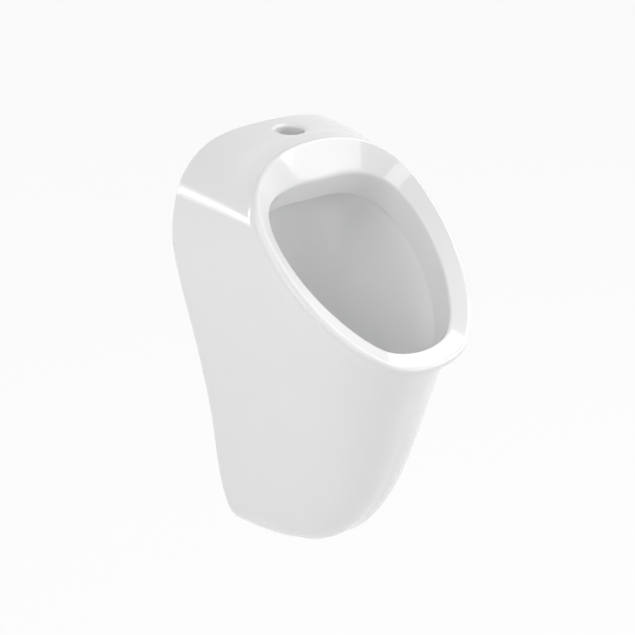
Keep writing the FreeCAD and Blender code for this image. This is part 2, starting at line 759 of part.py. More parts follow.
def hex_nut(x):
    start = Vector(x, -bracket_thickness - washer_plate_thickness, fixing_z)
    nut = hex_prism(hex_nut_flats, hex_nut_height, start, Vector(0, -1, 0))
    hole = Part.makeCylinder(bolt_radius + thread_gap, hex_nut_height, start, Vector(0, -1, 0))
    return nut.cut(hole)


# ---- Write every piece ----------------------------------------------------------------------
pieces = {
    "ceramic_body": ceramic_body(),
    "inlet_seal": inlet_seal(),
    "inlet_tube": inlet_tube(),
    "spreader": spreader(),
    "spreader_gasket": spreader_gasket(),
    "spreader_nut": spreader_nut(),
    "waste_strainer": waste_strainer(),
    "waste_flange": waste_flange(),
    "flange_gasket": flange_gasket(),
    "waste_washer": waste_washer(),
    "waste_slip_ring": waste_slip_ring(),
    "waste_backnut": waste_backnut(),
    "trap_inlet_nut": trap_inlet_nut(),
    "trap_inlet_seal": trap_inlet_seal(),
    "trap_body": trap_body(),
    "trap_dip_tube": trap_dip_tube(),
    "trap_cup_seal": trap_cup_seal(),
    "trap_cup": trap_cup(),
    "trap_outlet_nut": trap_outlet_nut(),
    "trap_outlet_seal": trap_outlet_seal(),
    "outlet_pipe": outlet_pipe(),
    "wall_connector": wall_connector(),
    "hanger_brackets": at_fixings(bracket),
    "hanger_pads": at_fixings(pad),
    "hanger_bolts": at_fixings(bolt),
    "hanger_washers": at_fixings(plate_washer),
    "hanger_nuts": at_fixings(hex_nut),
}

os.makedirs("parts", exist_ok=True)
for name, shape in pieces.items():
    shape.translate(Vector(0, 0, -fixing_z))
    shape.exportStep("parts/" + name + ".step")
    box = shape.BoundBox
    print(f"{name:18s} valid {shape.isValid()} solids {len(shape.Solids)} volume {shape.Volume:.0f}"
          f" y {box.YMin:.1f}..{box.YMax:.1f} z {box.ZMin:.1f}..{box.ZMax:.1f}")
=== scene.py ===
import math
import bpy
from mathutils import Matrix, Vector


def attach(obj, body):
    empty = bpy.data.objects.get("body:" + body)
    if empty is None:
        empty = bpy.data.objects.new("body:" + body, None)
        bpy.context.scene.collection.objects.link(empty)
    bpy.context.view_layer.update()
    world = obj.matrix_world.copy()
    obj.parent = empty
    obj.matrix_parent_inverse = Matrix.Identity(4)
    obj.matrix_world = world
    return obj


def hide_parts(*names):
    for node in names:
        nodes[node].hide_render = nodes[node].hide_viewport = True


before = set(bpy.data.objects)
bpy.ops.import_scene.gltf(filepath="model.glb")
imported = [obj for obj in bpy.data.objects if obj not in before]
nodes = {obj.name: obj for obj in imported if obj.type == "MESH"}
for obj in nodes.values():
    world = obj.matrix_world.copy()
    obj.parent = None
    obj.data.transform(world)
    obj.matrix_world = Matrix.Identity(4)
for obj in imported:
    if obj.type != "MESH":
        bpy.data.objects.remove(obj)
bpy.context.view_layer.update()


# ---- Ceramic body ---------------------------------------------------------------------------
# One slip-cast shell of glazed ceramic: a flat back, sides that sweep forward to an oval rim
# that slopes down to the front, and a deep bowl behind it. It is drawn as curves from the crown
# round one side to the foot, mirrored and joined; the curves are spaced out from the wall.
body_height, body_width, wall = 0.550, 0.294, 0.009
fixing_height = 0.475               # the wall fixings above the foot, where the frame's zero is
rim_tilt = math.radians(50.85)
opening_length, opening_width = 0.250, 0.209
rim_front = (-0.1026 - opening_length * math.sin(rim_tilt),
             body_height - 0.05115 - opening_length * math.cos(rim_tilt))
lip_round, edge_round, band_depth = 0.006, 0.003, 0.042
side_lag = 1.15

# Stations: shares of the half width and of the length, and reaches outside them in mm
wall_outline = [(0.0, 1.0), (0.35, 0.9955), (0.622, 0.9774), (0.826, 0.9355), (0.942, 0.878),
                (0.994, 0.802), (0.976, 0.731), (0.891, 0.627), (0.762, 0.484), (0.643, 0.32),
                (0.571, 0.167), (0.449, 0.053), (0.225, 0.007), (0.0, 0.004)]
opening_outline = [(0.0, 1.0), (0.325, 1.0), (0.632, 0.974), (0.847, 0.908), (0.967, 0.796),
                   (1.0, 0.652), (0.962, 0.496), (0.861, 0.336), (0.679, 0.172), (0.478, 0.062),
                   (0.306, 0.021), (0.172, 0.0064), (0.077, 0.0012), (0.0, 0.0)]
face_reach = [(0, 35, 31), (7, 31, 29.5), (10.5, 24, 26.5), (15, 16, 21.5), (17, 10, 16),
              (18, 5, 12.5), (19, -2, 10), (18, -12, 8.5), (14.5, -17, 7), (9.5, -20, 6),
              (6, -21.2, 5.5), (3, -21.8, 5), (1, -22, 5), (0, -22, 5)]
groove_reach = [(0, 53, 17), (10, 49, 15.5), (16, 41, 12.5), (20, 31, 8), (21.5, 21, 3),
                (21.5, 9, -3), (20.5, 1, -6), (17, -9, -8), (13, -16, -9), (8, -18.5, -10),
                (5, -19.7, -10.5), (2, -20.8, -11), (1, -21, -11), (0, -21, -11)]
front_profile = [(0.0, 0.0), (0.15, 0.012), (0.293, 0.037), (0.43, 0.084), (0.56, 0.17),
                 (0.683, 0.308), (0.782, 0.478), (0.857, 0.665), (0.92, 0.853), (1.0, 1.0)]
# Bowl curves: back end (in front of the bowl's back, share of the way down), front end (shares of
# the way in and down to the floor), share of the opening's half width, how round
drain_y, floor_z, floor_radius, floor_thickness, bowl_back_y = -0.080, 0.178, 0.038, 0.012, -0.022
bowl_sections = [((0.036, -0.027), (0.033, 0.072), 0.986, 0.0),
                 ((0.015, -0.013), (0.079, 0.164), 0.962, 0.06),
                 ((0.0, 0.063), (0.138, 0.279), 0.928, 0.14),
                 ((0.0005, 0.244), (0.257, 0.448), 0.871, 0.26),
                 ((0.002, 0.480), (0.434, 0.624), 0.780, 0.45),
                 ((0.005, 0.709), (0.632, 0.770), 0.660, 0.65),
                 ((0.009, 0.875), (0.809, 0.883), 0.526, 0.85),
                 ((0.014, 0.965), (0.934, 0.969), 0.440, 0.97)]


def rim_point(x, s, proud):
    """A point at half width x, s up the rim's plane from its front, proud of the plane."""
    return Vector((x, rim_front[0] + s * math.sin(rim_tilt) - proud * math.cos(rim_tilt),
                   rim_front[1] + s * math.cos(rim_tilt) + proud * math.sin(rim_tilt)))


opening = [(x * opening_width / 2, s * opening_length) for x, s in opening_outline]
wall_curve = [Vector((x * body_width / 2, 0, z * body_height)) for x, z in wall_outline]


def reach(rows):
    """Points outside the opening, by the stations' reaches in mm."""
    return [rim_point(x + dx / 1000, s + ds / 1000, p / 1000)
            for (x, s), (dx, ds, p) in zip(opening, rows)]


def halfway(a, b, c, d):
    """Between b and c, on the smooth line that also passes a and d."""
    return (9 * (b + c) - a - d) / 16


def finer(rows):
    """One more curve between each two."""
    last = len(rows) - 1
    out = [rows[0]]
    for k in range(last):
        before = rows[k - 1] if k else [2 * a - b for a, b in zip(rows[0], rows[1])]
        after = rows[k + 2] if k + 2 <= last else [2 * a - b for a, b in zip(rows[last], rows[last - 1])]
        out.append([halfway(*p) for p in zip(before, rows[k], rows[k + 1], after)])
        out.append(rows[k + 1])
    return out


def straight(a, b, shares):
    return [[p.lerp(q, share) for p, q in zip(a, b)] for share in shares]


def full_ring(half):
    """The half curve and its mirror image, closed, with three more points between each two."""
    ring = list(half) + [Vector((-p.x, p.y, p.z)) for p in half[-2:0:-1]]
    for _ in range(2):
        n = len(ring)
        ring = [q for k in range(n) for q in (ring[k], halfway(ring[k - 1], ring[k], ring[(k + 1) % n],
                                                               ring[(k + 2) % n]))]
    return ring


def skin(name, rings):
    """A closed mesh over rings of points, with a flat end on the first and the last."""
    size = len(rings[0])
    points = [p - Vector((0, 0, fixing_height)) for ring in rings for p in ring]
    faces = [[k * size + i, k * size + (i + 1) % size, (k + 1) * size + (i + 1) % size, (k + 1) * size + i]
             for k in range(len(rings) - 1) for i in range(size)]
    faces += [list(range(size))[::-1], list(range(len(points) - size, len(points)))]
    mesh = bpy.data.meshes.new(name)
    mesh.from_pydata(points, [], faces)
    piece = bpy.data.objects.new(name, mesh)
    bpy.context.scene.collection.objects.link(piece)
    point_outwards(piece)
    return piece


def only(piece):
    bpy.ops.object.select_all(action="DESELECT")
    piece.select_set(True)
    bpy.context.view_layer.objects.active = piece


def point_outwards(piece):
    only(piece)
    bpy.ops.object.mode_set(mode="EDIT")
    bpy.ops.mesh.select_all(action="SELECT")
    bpy.ops.mesh.normals_make_consistent(inside=False)
    bpy.ops.object.mode_set(mode="OBJECT")


def pushed(rows, distance):
    """The same curves moved square to the surface."""
    moved, last = [], len(rows) - 1
    for k, row in enumerate(rows):
        new = []
        for i, p in enumerate(row):
            ahead = row[i + 1] if i + 1 < len(row) else Vector((-row[i - 1].x, *row[i - 1].yz))
            behind = row[i - 1] if i else Vector((-row[1].x, *row[1].yz))
            across = rows[min(k + 1, last)][i] - rows[max(k - 1, 0)][i]
            q = p + (ahead - behind).cross(across).normalized() * distance
            if i in (0, len(row) - 1):
                q.x = 0
            new.append(q)
        moved.append(new)
    return moved


# Outside, from the wall to the groove behind the lip
groove = reach(groove_reach)
body_rows = []
for forward, up in front_profile:
    inward = forward ** side_lag
    body_rows.append([Vector((a.x + (b.x - a.x) * inward, b.y * forward, a.z + (b.z - a.z) * up))
                      for a, b in zip(wall_curve, groove)])

# Lip: a quarter round from the ring face out and down to the groove
face_flat = [(x + dx / 1000, s + ds / 1000) for (x, s), (dx, ds, p) in zip(opening, face_reach)]
lip_rows = []
for step in range(9):
    turn = math.radians(90 * step / 8)
    row = []
    for i, (x, s) in enumerate(face_flat):
        ahead = face_flat[i + 1] if i + 1 < len(face_flat) else (-face_flat[i - 1][0], face_flat[i - 1][1])
        behind = face_flat[i - 1] if i else (-face_flat[1][0], face_flat[1][1])
        dx, ds = ahead[0] - behind[0], ahead[1] - behind[1]
        size, out = math.hypot(dx, ds), lip_round * math.sin(turn)
        row.append(rim_point(x - ds / size * out, s + dx / size * out,
                             face_reach[i][2] / 1000 - lip_round * (1 - math.cos(turn))))
    lip_rows.append(row)

# Edge of the opening: a small round, then the straight band inside the rim
corner, below = [rim_point(x, s, 0) for x, s in opening], [rim_point(x, s, -edge_round) for x, s in opening]
crease = [rim_point(x, s, -band_depth) for x, s in opening]
start = [c + (f - c).normalized() * edge_round for c, f in zip(corner, reach(face_reach))]
edge_rows = [[a * (1 - t) ** 2 + c * 2 * t * (1 - t) + b * t ** 2 for a, c, b in zip(start, corner, below)]
             for t in [k / 6 for k in range(7)]]


def floor_circle(z, radius):
    ring = []
    for x, s in opening_outline:
        turn = math.atan2(x * opening_width / 2, (s - 0.5) * opening_length)
        ring.append(Vector((radius * math.sin(turn), drain_y + radius * math.cos(turn), z)))
    ring[0].x = ring[-1].x = 0
    return ring


bowl_rows = [crease]
for (back_gap, back_down), (front_in, front_down), half, roundness in bowl_sections:
    back_y, back_z = bowl_back_y - back_gap, crease[0].z + (floor_z - crease[0].z) * back_down
    front_y = crease[-1].y + (drain_y - floor_radius - crease[-1].y) * front_in
    front_z = crease[-1].z + (floor_z - crease[-1].z) * front_down
    row = []
    for (x, s), c in zip(opening_outline, floor_circle(0, 1)):
        share = s + ((c.y - drain_y + 1) / 2 - s) * roundness
        row.append(Vector((opening_width / 2 * half * (x + (c.x - x) * roundness),
                           front_y + (back_y - front_y) * share, front_z + (back_z - front_z) * share)))
    bowl_rows.append(row)
bowl_rows.append(floor_circle(floor_z, floor_radius))

fine_body, fine_bowl = finer(finer(body_rows)), finer(finer(bowl_rows))
outer = (fine_body + straight(groove, lip_rows[-1], (0.5,)) + lip_rows[::-1]
         + straight(lip_rows[0], edge_rows[0], (0.08, 0.3, 0.6, 0.9)) + edge_rows
         + straight(below, crease, (0.08, 0.5, 0.95)) + fine_bowl)
body = skin("ceramic_shell", [full_ring(row) for row in outer])

# The hollow between the outside and the bowl, open at the wall
shell = pushed(body_rows, wall)[:9]
back = [Vector((p.x, 0, p.z)) for p in shell[0]]
beyond = [Vector((p.x, 0.005, p.z)) for p in back]
under_bowl = pushed(bowl_rows, wall)[1:-2] + [floor_circle(floor_z - floor_thickness, floor_radius + wall)]
inside = [beyond] + finer(finer([back] + shell[1:])) + finer(finer(under_bowl))
hollow = skin("hollow", [full_ring(row) for row in inside])


def boolean(piece, tool, operation):
    """Joins or cuts one mesh with another, which is used up."""
    only(piece)
    step = piece.modifiers.new("step", "BOOLEAN")
    step.operation, step.solver, step.object = operation, "EXACT", tool
    bpy.ops.object.modifier_apply(modifier="step")
    bpy.data.objects.remove(tool)


def drum(name, radius, low, high, y):
    bpy.ops.object.select_all(action="DESELECT")
    bpy.ops.mesh.primitive_cylinder_add(vertices=96, radius=radius, depth=high - low,
                                        location=(0, y, (low + high) / 2 - fixing_height))
    bpy.ops.object.transform_apply(location=True)
    bpy.context.object.name = name
    return bpy.context.object


def block(name, low, high):
    size = [b - a for a, b in zip(low, high)]
    middle = [(a + b) / 2 for a, b in zip(low, high)]
    bpy.ops.object.select_all(action="DESELECT")
    bpy.ops.mesh.primitive_cube_add(size=1, location=(middle[0], middle[1], middle[2] - fixing_height))
    bpy.context.object.scale = size
    bpy.ops.object.transform_apply(location=True, scale=True)
    bpy.context.object.name = name
    return bpy.context.object


# The bosses and the rail that the wall hooks hold are left standing in the hollow
inlet_y, inlet_radius, deck_boss_radius, deck_boss_foot = -0.043, 0.0175, 0.029, 0.526
roof_boss_radius, roof_boss_foot, roof_boss_top, roof_hole_radius = 0.019, 0.469, 0.487, 0.0128
chamber_radius, spreader_seat_radius, spreader_seat_foot = 0.027, 0.018, 0.456
rail_low, rail_high = (-0.130, -0.0153, 0.500), (0.130, -0.0033, 0.522)
floor_hole_radius, over = 0.02295, 0.007
boolean(hollow, drum("deck_boss", deck_boss_radius, deck_boss_foot, body_height + 0.01, inlet_y),
        "DIFFERENCE")
boolean(hollow, block("rail", rail_low, rail_high), "DIFFERENCE")
boolean(hollow, drum("roof_boss", roof_boss_radius, roof_boss_foot - 0.004, roof_boss_top, inlet_y),
        "DIFFERENCE")
boolean(body, hollow, "DIFFERENCE")
boolean(body, drum("roof_boss", roof_boss_radius, roof_boss_foot, roof_boss_top - over, inlet_y), "UNION")
for name, radius, low, high, y in (
        ("inlet_chamber", chamber_radius, roof_boss_top, deck_boss_foot, inlet_y),
        ("spreader_seat", spreader_seat_radius, spreader_seat_foot, roof_boss_foot, inlet_y),
        ("roof_hole", roof_hole_radius, roof_boss_foot - 0.009, roof_boss_top + over, inlet_y),
        ("floor_hole", floor_hole_radius, floor_z - 0.028, floor_z + floor_thickness, drain_y)):
    boolean(body, drum(name, radius, low, high, y), "DIFFERENCE")

# The way out for the trap's cup, through the foot
access_half_width, access_front_y, access_back_y, access_corner = 0.038, -0.118, -0.014, 0.016
access = block("access", (-access_half_width, access_front_y, -0.02),
               (access_half_width, access_back_y, 0.08))
only(access)
bpy.ops.object.mode_set(mode="EDIT")
bpy.ops.mesh.select_all(action="DESELECT")
bpy.ops.object.mode_set(mode="OBJECT")
for edge in access.data.edges:
    a, b = (access.data.vertices[v].co for v in edge.vertices)
    edge.select = abs(a.z - b.z) > 0.05
bpy.ops.object.mode_set(mode="EDIT")
bpy.ops.mesh.select_mode(type="EDGE")
bpy.ops.mesh.bevel(offset=access_corner, segments=10)
bpy.ops.object.mode_set(mode="OBJECT")
boolean(body, access, "DIFFERENCE")

# Inlet hole with a rounded mouth, square to the deck, which falls a little to the front
deck_z, deck_slope, mouth = body_height - 0.0015, math.radians(4.4), 0.0045
profile = [(inlet_radius, -0.052), (inlet_radius, -mouth - 0.002)]
for step in range(10):
    turn = math.radians(8 * step)
    profile.append((inlet_radius + mouth * (1 - math.cos(turn)), mouth * math.sin(turn) - mouth))
tangent = math.radians(72)
profile.append((profile[-1][0] + 0.02 * math.sin(tangent), profile[-1][1] + 0.02 * math.cos(tangent)))
lean = Matrix.Rotation(deck_slope, 4, "X")
rings = []
for radius, z in profile:
    turns = [math.tau * k / 96 for k in range(96)]
    flat = [Vector((radius * math.cos(turn), radius * math.sin(turn), z)) for turn in turns]
    leaning = min(max((z + mouth + 0.002) / 0.002, 0), 1)
    rings.append([p.lerp(lean @ p, leaning) + Vector((0, inlet_y, deck_z)) for p in flat])
boolean(body, skin("inlet_hole", rings), "DIFFERENCE")

only(body)
bpy.ops.object.mode_set(mode="EDIT")
bpy.ops.mesh.select_all(action="SELECT")
bpy.ops.mesh.remove_doubles(threshold=0.00002)
bpy.ops.mesh.normals_make_consistent(inside=False)
bpy.ops.object.mode_set(mode="OBJECT")
bpy.ops.object.shade_smooth_by_angle(angle=math.radians(32))


class Amount:
    """A number that varies over a surface."""

    def __init__(self, finish, socket):
        self.finish, self.socket = finish, socket

    def combined(self, operation, first, second):
        return self.finish.add("ShaderNodeMath", {"operation": operation}, {0: first, 1: second})

    def __add__(self, other):
        return self.combined("ADD", self, other)

    __radd__ = __add__

    def __mul__(self, other):
        return self.combined("MULTIPLY", self, other)

    __rmul__ = __mul__


class Finish:
    """A material on the object's own coordinates, in metres."""

    def __init__(self, name, colour, roughness, **fixed):
        self.material = bpy.data.materials.new(name)
        self.material.use_nodes = True
        self.tree = self.material.node_tree
        self.shader = self.tree.nodes["Principled BSDF"]
        self.shader.inputs["Base Color"].default_value = (*colour, 1)
        self.shader.inputs["Roughness"].default_value = roughness
        for socket, value in fixed.items():
            self.shader.inputs[socket.replace("_", " ")].default_value = value
        self.place = self.add("ShaderNodeTexCoord", {}, {}, "Object")

    def add(self, kind, settings, sockets, output=0):
        node = self.tree.nodes.new(kind)
        for setting, value in settings.items():
            setattr(node, setting, value)
        for socket, value in sockets.items():
            self.feed(node.inputs[socket], value)
        return Amount(self, node.outputs[output])

    def feed(self, socket, value):
        if isinstance(value, Amount):
            self.tree.links.new(value.socket, socket)
        else:
            socket.default_value = value

    def axis(self, letter):
        return self.add("ShaderNodeSeparateXYZ", {}, {"Vector": self.place}, letter)

    def noise(self, scale, detail=2.0, roughness=0.5):
        return self.add("ShaderNodeTexNoise", {}, {"Vector": self.place, "Scale": scale, "Detail": detail,
                                                   "Roughness": roughness}, 0)

    def ranged(self, value, low, high, to_low, to_high):
        return self.add("ShaderNodeMapRange", {}, {"Value": value, "From Min": low, "From Max": high,
                                                   "To Min": to_low, "To Max": to_high}, 0)

    def mixed(self, share, first, second):
        return self.add("ShaderNodeMix", {"data_type": "RGBA"}, {0: share, 6: first, 7: second}, 2)

    def surface(self, colour=None, roughness=None, height=None, depth=0.0001):
        if colour is not None:
            self.feed(self.shader.inputs["Base Color"], colour)
        if roughness is not None:
            self.feed(self.shader.inputs["Roughness"], roughness)
        if height is not None:
            bump = self.add("ShaderNodeBump", {}, {"Height": height, "Distance": depth, "Strength": 1.0})
            self.feed(self.shader.inputs["Normal"], bump)

    def on(self, *pieces):
        for piece in pieces:
            if not piece.material_slots:
                piece.data.materials.append(self.material)
            for place in piece.material_slots:
                place.material = self.material


# Glaze: white and glossy with a faint waviness; the ground face at the wall is bare and matt
glaze = Finish("white_glaze", (0.86, 0.863, 0.862), 0.07, IOR=1.52, Coat_Weight=0.3, Coat_Roughness=0.03)
bare = glaze.ranged(glaze.axis("Y"), -0.0006, -0.0002, 0.0, 1.0)
cloud = glaze.noise(9.0, 3.0)
glaze.surface(glaze.mixed(bare, glaze.mixed(cloud, (0.845, 0.849, 0.848, 1), (0.875, 0.877, 0.876, 1)),
                          (0.74, 0.71, 0.66, 1)),
              bare * 0.55 + glaze.ranged(glaze.noise(60.0), 0.3, 0.7, 0.06, 0.09),
              glaze.noise(14.0, 1.0) + 0.04 * glaze.noise(260.0, 1.0), 0.0004)
glaze.on(body)
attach(body, "fixture")
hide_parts("ceramic_body")


# ---- Water inlet and spreader ---------------------------------------------------------------
# A moulded rubber seal and a plastic socket lie under the deck's hole for the flush pipe. They
# feed a plated spreader, which is pushed up through the roof of the bowl and held by a brass nut.
rubber = Finish("moulded_rubber", (0.03, 0.03, 0.032), 0.6, Specular_IOR_Level=0.35)
bloom = rubber.noise(45.0, 4.0, 0.6)
rubber.surface(rubber.mixed(bloom, (0.022, 0.022, 0.024, 1), (0.045, 0.045, 0.048, 1)),
               rubber.ranged(bloom, 0.3, 0.7, 0.52, 0.72), rubber.noise(900.0, 2.0), 0.00015)
rubber.on(nodes["inlet_seal"], nodes["spreader_gasket"])

plastic = Finish("white_plastic", (0.78, 0.785, 0.78), 0.3, IOR=1.5)
flow = plastic.noise(22.0, 3.0)
plastic.surface(plastic.mixed(flow, (0.75, 0.755, 0.745, 1), (0.80, 0.80, 0.795, 1)),
                plastic.ranged(plastic.noise(130.0, 2.0), 0.3, 0.7, 0.24, 0.36),
                flow + 0.1 * plastic.noise(650.0, 2.0), 0.0002)
plastic.on(nodes["inlet_tube"])


def turning_marks(finish, centre_y, spacing):
    """Fine rings left by the lathe, round an upright axis behind the middle."""
    from_axis = finish.add("ShaderNodeVectorMath", {"operation": "ADD"},
                           {0: finish.place, 1: (0, -centre_y, 0)}, "Vector")
    flat = finish.add("ShaderNodeVectorMath", {"operation": "MULTIPLY"},
                      {0: from_axis, 1: (1, 1, 0)}, "Vector")
    radius = finish.add("ShaderNodeVectorMath", {"operation": "LENGTH"}, {0: flat}, "Value")
    return finish.add("ShaderNodeTexNoise", {"noise_dimensions": "1D"},
                      {"W": radius * (1 / spacing), "Scale": 1.0, "Detail": 3.0}, 0)


chrome = Finish("chrome_plate", (0.78, 0.79, 0.80), 0.1, Metallic=1.0)
film = chrome.noise(30.0, 4.0, 0.6)
chrome.surface(chrome.mixed(film, (0.74, 0.75, 0.77, 1), (0.82, 0.825, 0.83, 1)),
               chrome.ranged(film, 0.3, 0.75, 0.07, 0.17), chrome.noise(18.0, 1.0), 0.0001)
chrome.on(nodes["spreader"])

brass = Finish("nut_brass", (0.62, 0.46, 0.20), 0.32, Metallic=1.0)
tarnish = brass.noise(70.0, 4.0, 0.6)
lathe_rings = turning_marks(brass, inlet_y, 0.0006)
brass.surface(brass.mixed(tarnish, (0.50, 0.36, 0.15, 1), (0.72, 0.54, 0.25, 1)),
              brass.ranged(tarnish + 0.3 * lathe_rings, 0.4, 0.9, 0.24, 0.46),
              brass.noise(420.0, 2.0) + 0.5 * lathe_rings, 0.00008)


def turned(name, profile, centre=(0, 0), steps=96):
    """A mesh spun round an upright axis from a closed outline of (radius, height) corners."""
    outline = bpy.data.meshes.new(name)
    points = [(radius, 0, z) for radius, z in profile]
    outline.from_pydata(points, [(k, (k + 1) % len(points)) for k in range(len(points))], [])
    piece = bpy.data.objects.new(name, outline)
    bpy.context.scene.collection.objects.link(piece)
    only(piece)
    bpy.ops.object.mode_set(mode="EDIT")
    bpy.ops.mesh.select_all(action="SELECT")
    bpy.ops.mesh.spin(steps=steps, angle=math.tau, center=(0, 0, 0), axis=(0, 0, 1))
    bpy.ops.mesh.select_all(action="SELECT")
    bpy.ops.mesh.remove_doubles(threshold=0.000005)
    bpy.ops.mesh.normals_make_consistent(inside=False)
    bpy.ops.object.mode_set(mode="OBJECT")
    moved(piece, (centre[0], centre[1], 0))
    return piece


def moved(piece, shift, turn=(0, 0, 0)):
    """Turns a piece about the origin, then puts it in place."""
    only(piece)
    piece.rotation_euler, piece.location = turn, shift
    bpy.ops.object.transform_apply(location=True, rotation=True, scale=True)


def hexagon_nut(name, flats, height, bore):
    """A nut standing on the origin, its corners eased where the lathe faced it."""
    corner = flats / 2 / math.cos(math.radians(30))
    bpy.ops.object.select_all(action="DESELECT")
    bpy.ops.mesh.primitive_cylinder_add(vertices=6, radius=corner, depth=height, location=(0, 0, height / 2))
    nut = bpy.context.object
    nut.name = name
    bpy.ops.object.transform_apply(location=True)
    ease = (corner - flats / 2) * 1.15
    fall, lead, clear = ease * 0.58, 0.0012, 0.001
    barrel = turned("barrel", [(0, 0), (corner - ease, 0), (corner, fall), (corner, height - fall),
                               (corner - ease, height), (0, height)])
    boolean(nut, barrel, "INTERSECT")
    hole = turned("hole", [(0, -clear), (bore + lead, -clear), (bore + lead, 0), (bore, lead),
                           (bore, height - lead), (bore + lead, height), (bore + lead, height + clear),
                           (0, height + clear)])
    boolean(nut, hole, "DIFFERENCE")
    only(nut)
    bpy.ops.object.shade_smooth_by_angle(angle=math.radians(25))
    return nut


spreader_nut_flats, spreader_nut_height, spreader_nut_bore = 0.0295, 0.008, 0.01215
nut = hexagon_nut("spreader_locknut", spreader_nut_flats, spreader_nut_height, spreader_nut_bore)
moved(nut, (0, inlet_y, roof_boss_top - fixing_height))
brass.on(nut)
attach(nut, "fixture")
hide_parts("spreader_nut")


# ---- Waste fitting --------------------------------------------------------------------------
# A plated brass flange with a long threaded tail stands in the floor of the bowl on a rubber ring.
# A rubber washer, a plastic slip ring and a brass nut clamp it from below.
waste_chrome = Finish("waste_plate", (0.78, 0.79, 0.80), 0.12, Metallic=1.0)
scale_film = waste_chrome.noise(55.0, 5.0, 0.65)
waste_chrome.surface(waste_chrome.mixed(scale_film, (0.72, 0.735, 0.75, 1), (0.82, 0.825, 0.83, 1)),
                     waste_chrome.ranged(scale_film, 0.35, 0.75, 0.08, 0.22),
                     turning_marks(waste_chrome, drain_y, 0.0009), 0.00002)
waste_chrome.on(nodes["waste_flange"])
rubber.on(nodes["flange_gasket"], nodes["waste_washer"])
plastic.on(nodes["waste_slip_ring"])


def helical_thread(name, crest, depth, pitch, low, high, land=0.15, steps=48):
    """A solid threaded rod along Z: one pitch of the profile, swept up the helix and cut square."""
    count = math.ceil((high - low) / pitch) + 3
    root, start = crest - depth, low - 1.5 * pitch
    outline = bpy.data.meshes.new(name)
    heights = (0, land / 2, 0.5 - land / 2, 0.5 + land / 2, 1 - land / 2, 1)
    radii = (crest, crest, root, root, crest, crest)
    outline.from_pydata([(r, 0, start + h * pitch) for r, h in zip(radii, heights)],
                        [(k, k + 1) for k in range(5)], [])
    rod = bpy.data.objects.new(name, outline)
    bpy.context.scene.collection.objects.link(rod)
    only(rod)
    sweep = rod.modifiers.new("sweep", "SCREW")
    sweep.axis, sweep.angle, sweep.screw_offset, sweep.iterations = "Z", math.tau, pitch, count
    sweep.steps = sweep.render_steps = steps
    sweep.use_merge_vertices, sweep.merge_threshold = True, 0.000001
    bpy.ops.object.modifier_apply(modifier="sweep")
    bpy.ops.object.mode_set(mode="EDIT")
    bpy.ops.mesh.select_all(action="SELECT")
    bpy.ops.mesh.remove_doubles(threshold=0.000002)
    for z, up in ((low, False), (high, True)):
        bpy.ops.mesh.select_all(action="SELECT")
        bpy.ops.mesh.bisect(plane_co=(0, 0, z), plane_no=(0, 0, 1), use_fill=True, clear_inner=not up,
                            clear_outer=up, threshold=0.0000005)
    bpy.ops.mesh.select_all(action="SELECT")
    bpy.ops.mesh.normals_make_consistent(inside=False)
    bpy.ops.object.mode_set(mode="OBJECT")
    bpy.ops.object.shade_smooth_by_angle(angle=math.radians(20))
    return rod


tail_crest, tail_depth, tail_pitch, tail_low, tail_high = 0.02115, 0.0009, 0.0023, -0.3545, -0.3243
tail_thread = helical_thread("waste_tail_thread", tail_crest, tail_depth, tail_pitch, tail_low, tail_high)
moved(tail_thread, (0, drain_y, 0))
waste_chrome.on(tail_thread)
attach(tail_thread, "fixture")

waste_nut_flats, waste_nut_height, waste_nut_bore, waste_nut_foot = 0.053, 0.009, 0.021, -0.3225
clamp = hexagon_nut("waste_locknut", waste_nut_flats, waste_nut_height, waste_nut_bore)
moved(clamp, (0, drain_y, waste_nut_foot))
waste_brass = Finish("waste_nut_brass", (0.62, 0.46, 0.20), 0.32, Metallic=1.0)
spots = waste_brass.noise(60.0, 5.0, 0.65)
rings = turning_marks(waste_brass, drain_y, 0.0007)
waste_brass.surface(waste_brass.mixed(spots, (0.48, 0.35, 0.15, 1), (0.72, 0.54, 0.25, 1)),
                    waste_brass.ranged(spots + 0.3 * rings, 0.4, 0.9, 0.24, 0.46),
                    waste_brass.noise(400.0, 2.0) + 0.5 * rings, 0.00008)
waste_brass.on(clamp)
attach(clamp, "fixture")
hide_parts("waste_backnut")

# The grating that lies loose in the flange is pressed from stainless sheet and spun smooth
satin = Finish("satin_stainless", (0.60, 0.60, 0.61), 0.3, Metallic=1.0)
spun = turning_marks(satin, drain_y, 0.0004)
satin.surface(satin.mixed(satin.noise(35.0, 3.0), (0.55, 0.555, 0.565, 1), (0.66, 0.66, 0.665, 1)),
              satin.ranged(spun, 0.3, 0.7, 0.22, 0.38), spun, 0.00003)
satin.on(nodes["waste_strainer"])


# ---- Bottle trap ----------------------------------------------------------------------------
# White moulded plastic: a body that the waste's tail drops into, a dip tube hung in it, and a cup
# that comes down to be emptied. Ribbed hand nuts press rubber rings on the tail and on the outlet.
trap_plastic = Finish("trap_plastic", (0.78, 0.785, 0.78), 0.32, IOR=1.49)
swirl = trap_plastic.noise(16.0, 4.0, 0.55)
trap_plastic.surface(trap_plastic.mixed(swirl, (0.74, 0.745, 0.73, 1), (0.80, 0.80, 0.795, 1)),
                     trap_plastic.ranged(trap_plastic.noise(110.0, 2.0), 0.3, 0.7, 0.26, 0.40),
                     swirl + 0.12 * trap_plastic.noise(700.0, 2.0), 0.0002)
for name in ("trap_body", "trap_dip_tube", "trap_inlet_nut", "trap_outlet_nut", "trap_cup", "outlet_pipe"):
    trap_plastic.on(nodes[name])
for name in ("trap_inlet_seal", "trap_cup_seal", "trap_outlet_seal", "wall_connector"):
    rubber.on(nodes[name])


